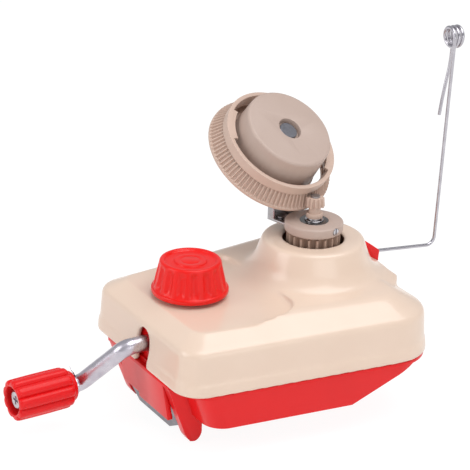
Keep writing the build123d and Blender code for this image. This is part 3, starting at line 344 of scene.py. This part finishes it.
# ----------------------------------------------------------------- collar
# A turned disc of greyer acetal on the drive gear's hub. It clamps the
# bracket's foot and has one steel screw in its side.
hub_acetal = plastic("pale_beige_acetal", "BBA69B", "B29C90", 0.45, 0.0, 0.9, 0.2)
collar = dressed("turntable_collar", "gear_collar", hub_acetal, 0.3)
chrome_steel = plated("chromed_steel", "D8D5D9", "A5A2A6", 0.18, 2.0, 0.1)
set_screw = dressed("set_screw", "collar_screw", chrome_steel, 0.15)
wheel_heading = math.radians(-75.4)
screw_out = Vector((math.cos(wheel_heading), math.sin(wheel_heading), 0))
turret_axis = Vector((33.65, 0, 0)) * mm
for vertex in set_screw.data.vertices:
    if (vertex.co - turret_axis).dot(screw_out) > 10.5 * mm:
        vertex.co += screw_out * (3.5 * mm)


# ----------------------------------------------------- greased washers
# A black greased washer lies on the gear's hub round the post, with a small
# chromed one on top. The grease gives the black one its wet shine.
def spun(name, outline, foot, axis, start, steps):
    """Spins (radius, height) points in mm about an axis and closes the shell."""
    points = [foot + start * (r * mm) + axis * (h * mm) for r, h in outline]
    mesh = bpy.data.meshes.new(name)
    mesh.from_pydata([tuple(p) for p in points], [(i, i + 1) for i in range(len(points) - 1)], [])
    piece = bpy.data.objects.new(name, mesh)
    bpy.context.scene.collection.objects.link(piece)
    bpy.ops.object.select_all(action="DESELECT")
    bpy.context.view_layer.objects.active = piece
    piece.select_set(True)
    bpy.ops.object.mode_set(mode="EDIT")
    bpy.ops.mesh.select_all(action="SELECT")
    bpy.ops.mesh.spin(steps=steps, angle=2 * math.pi, center=foot, axis=axis)
    bpy.ops.mesh.select_all(action="SELECT")
    bpy.ops.mesh.remove_doubles(threshold=0.003 * mm)
    bpy.ops.mesh.normals_make_consistent(inside=False)
    bpy.ops.object.mode_set(mode="OBJECT")
    return piece


def settle(piece, material, body, nodes, angle=35.0):
    """Smooth shading, finish, body and the parts that a piece stands for."""
    bpy.ops.object.select_all(action="DESELECT")
    bpy.context.view_layer.objects.active = piece
    piece.select_set(True)
    bpy.ops.object.shade_smooth_by_angle(angle=math.radians(angle))
    piece.data.materials.clear()
    piece.data.materials.append(material)
    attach(piece, body)
    if nodes:
        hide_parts(*nodes)


up = Vector((0, 0, 1))
east = Vector((1, 0, 0))
greased_black = plastic("greased_black_washer", "2A2422", "171312", 0.22, 0.6, 0.8, 0.6, 3.0)
black_washer = spun("black_washer", [(3.7, 82.02), (7.9, 82.02), (8.1, 82.2), (8.1, 82.6), (7.9, 82.78), (3.9, 82.78),
                                     (3.7, 82.6), (3.7, 82.02)], turret_axis, up, east, 72)
settle(black_washer, greased_black, "turntable", [])
small_washer = spun("small_washer", [(3.65, 82.8), (5.1, 82.8), (5.25, 82.95), (5.25, 83.35), (5.1, 83.5),
                                     (3.8, 83.5), (3.65, 83.35), (3.65, 82.8)], turret_axis, up, east, 72)
settle(small_washer, chrome_steel, "turntable", [])

# ----------------------------------------------------------------- bracket
# A folded strip of bright zinc-plated sheet with turned-up sides, fixed to
# the collar by two domed rivets. It carries the wheel's axle at a slant.
bright_sheet = plated("zinc_plated_sheet", "C4C2C5", "8F8C8E", 0.28, 7.0)
bracket = dressed("bracket", "bent_bracket", bright_sheet, 0.3)
rivets = dressed("bracket_rivets", "bracket_rivet_heads", plain_steel, 0.3)

# ------------------------------------------------------- wheel axle
# A steel pin riveted over the bracket, with a turned head that keeps the
# wheel on and a spacer tube behind it.
dull_steel = plated("dull_blue_steel", "86868C", "68686E", 0.42, 3.0)
axle = dressed("wheel_axle", "axle_pin", dull_steel, 0.3)
spacer = dressed("axle_spacer", "axle_tube", plain_steel, 0.2)

# ------------------------------------------------------------- toothed ring
# The slanted wheel's beige acetal ring, with its bevel teeth, its outer
# flange and the windows behind the drum, is one moulding.
ring = dressed("wheel_ring", "toothed_ring", gear_acetal, 0.2)

# ------------------------------------------------------------- spool drum
# The hollow drum that the yarn is wound on, in paler acetal. It is pressed
# into the ring, and its face has a round recess for the axle's head.
drum = dressed("spool_drum", "cone_drum", hub_acetal, 0.4)


# ---------------------------------------------------------------- clamp knob
# A moulded knob with sixteen shallow flutes, a foot flange and a dished top.
# It is pushed over the clamp screw's hexagon head.
def ease(value, low, high):
    """Smooth step from 0 at low to 1 at high."""
    part = min(1.0, max(0.0, (value - low) / (high - low)))
    return part * part * (3 - 2 * part)


knob_red = plastic("bright_red_abs", "EA1108", "E00E06", 0.32, 0.05, 0.8, 0.15, sheen=0.35)
knob_foot = Vector((-42, 4.5, 0)) * mm
knob_outline = [(3.1, 54.0), (20.2, 53.8), (20.8, 54.0), (21.0, 54.5), (21.0, 55.9), (20.8, 56.3), (20.3, 56.5),
                (20.0, 56.7), (19.8, 57.4)]
knob_outline += [(19.8 - 2.9 * k / 14, 57.4 + 13.0 * k / 14) for k in range(1, 15)]
knob_outline += [(16.75, 71.2), (16.4, 71.8), (15.8, 72.15), (15.2, 72.2), (14.6, 72.15), (14.2, 71.9), (13.9, 71.4),
                 (13.5, 71.0), (12.9, 70.85), (9.4, 70.85), (9.0, 70.95), (8.8, 71.25), (8.6, 71.5), (8.2, 71.6),
                 (5.6, 71.6), (5.3, 71.45), (5.0, 71.45), (4.7, 71.6), (0.0, 71.6)]
knob = spun("clamp_wheel", knob_outline, knob_foot, up, east, 192)
flutes, flute_depth = 16, 1.3
for vertex in knob.data.vertices:
    flat = vertex.co - knob_foot
    height = flat.z / mm
    radius = math.hypot(flat.x, flat.y)
    if radius > 15.4 * mm and 56.6 < height < 71.7:
        wave = 0.5 + 0.5 * math.cos(flutes * math.atan2(flat.y, flat.x))
        cut = flute_depth * mm * ease(wave, 0.18, 0.95) * ease(height, 56.7, 59.2) * (1 - ease(height, 67.5, 71.4))
        vertex.co.x -= flat.x / radius * cut
        vertex.co.y -= flat.y / radius * cut
settle(knob, knob_red, "knob", ["clamp_knob"])

# ------------------------------------------------- clamp screw and washer
# The knob's hexagon-headed screw turns in a washer on the cover and is kept
# by a spring clip. All three are bought-in plated steel.
finish_node("clamp_screw", plain_steel)
finish_node("screw_clip", plain_steel)
finish_node("clamp_washer", plain_steel)

# ---------------------------------------------------------- clamp hook
# A bent strip of zinc-plated sheet that the screw draws up under the table.
# It has a steel nut inside and a glued black rubber pad on its jaw.
grey_sheet = plated("dull_plated_sheet", "9C999E", "6F6C71", 0.34, 6.0)
hook = dressed("clamp_jaw", "clamp_hook", grey_sheet, 0.3)
finish_node("jaw_nut", plain_steel)
pad_rubber = plastic("black_rubber", "2B2A2A", "232222", 0.75, 0.0, 0.6, 0.6)
finish_node("jaw_pad", pad_rubber)

# --------------------------------------------------------------- crank handle
# A lobed moulded handle that turns freely on the end of the crank rod, held
# by a washer and a cross-head screw in its hollow end.
handle_red = plastic("handle_red_abs", "E41518", "D91115", 0.34, 0.0, 0.8, 0.15, sheen=0.3)
slant = math.radians(2.57)
outwards = Vector((-math.cos(slant), -math.sin(slant), 0))
handle_foot = Vector((-102, 17.62, 5.6)) * mm
handle_outline = [(4.2, 5.1), (7.4, 5.0), (8.1, 5.3), (8.4, 5.9), (8.5, 7.2), (8.8, 7.7), (9.6, 7.9), (10.5, 8.3),
                  (11.1, 9.1), (11.3, 10.4)]
handle_outline += [(11.3 + 0.15 * math.sin(math.pi * k / 12), 10.4 + 28.4 * k / 12) for k in range(1, 13)]
handle_outline += [(11.1, 39.9), (10.6, 40.6), (9.8, 40.95), (8.6, 41.0), (8.0, 40.8), (7.7, 40.3), (7.6, 39.4),
                   (7.6, 35.3), (7.3, 35.05), (4.2, 35.0), (4.2, 5.1)]
handle = spun("crank_handle", handle_outline, handle_foot, outwards, up, 180)
beside = outwards.cross(up)
for vertex in handle.data.vertices:
    flat = vertex.co - handle_foot
    reach = flat.dot(outwards) / mm
    x, y = flat.dot(up), flat.dot(beside)
    radius = math.hypot(x, y)
    if radius > 8.45 * mm and reach > 7.3:
        valley = 1 - abs(math.cos(4.5 * math.atan2(y, x)))
        cut = 1.9 * mm * valley ** 1.6 * ease(radius / mm, 8.4, 10.6)
        vertex.co -= (up * x + beside * y) / radius * cut
settle(handle, handle_red, "grip", ["crank_grip"])

# --------------------------------------------------- handle washer and screw
# A plated washer and a bright pan-head screw with a cross slot end the rod.
finish_node("grip_washer", plain_steel)
grip_screw = dressed("grip_screw", "cross_screw", chrome_steel, 0.2)

# ------------------------------------------------------------ wire socket
# A small red ABS block, part of the tub's moulding colour, that grips the
# guide wire's foot where it leaves the body.
socket = dressed("guide_socket", "wire_socket", red_abs, 0.4)

# ------------------------------------------------------------- guide wire
# A 2 mm bright spring-steel wire: a level arm, an upright and a coiled eye
# whose tail hangs down. The yarn runs through the eye.
bright_wire = plated("bright_wire", "D2CFD4", "A8A4AC", 0.2, 5.0, 0.1)
wire = dressed("guide_wire", "yarn_guide_wire", bright_wire, 0.0)
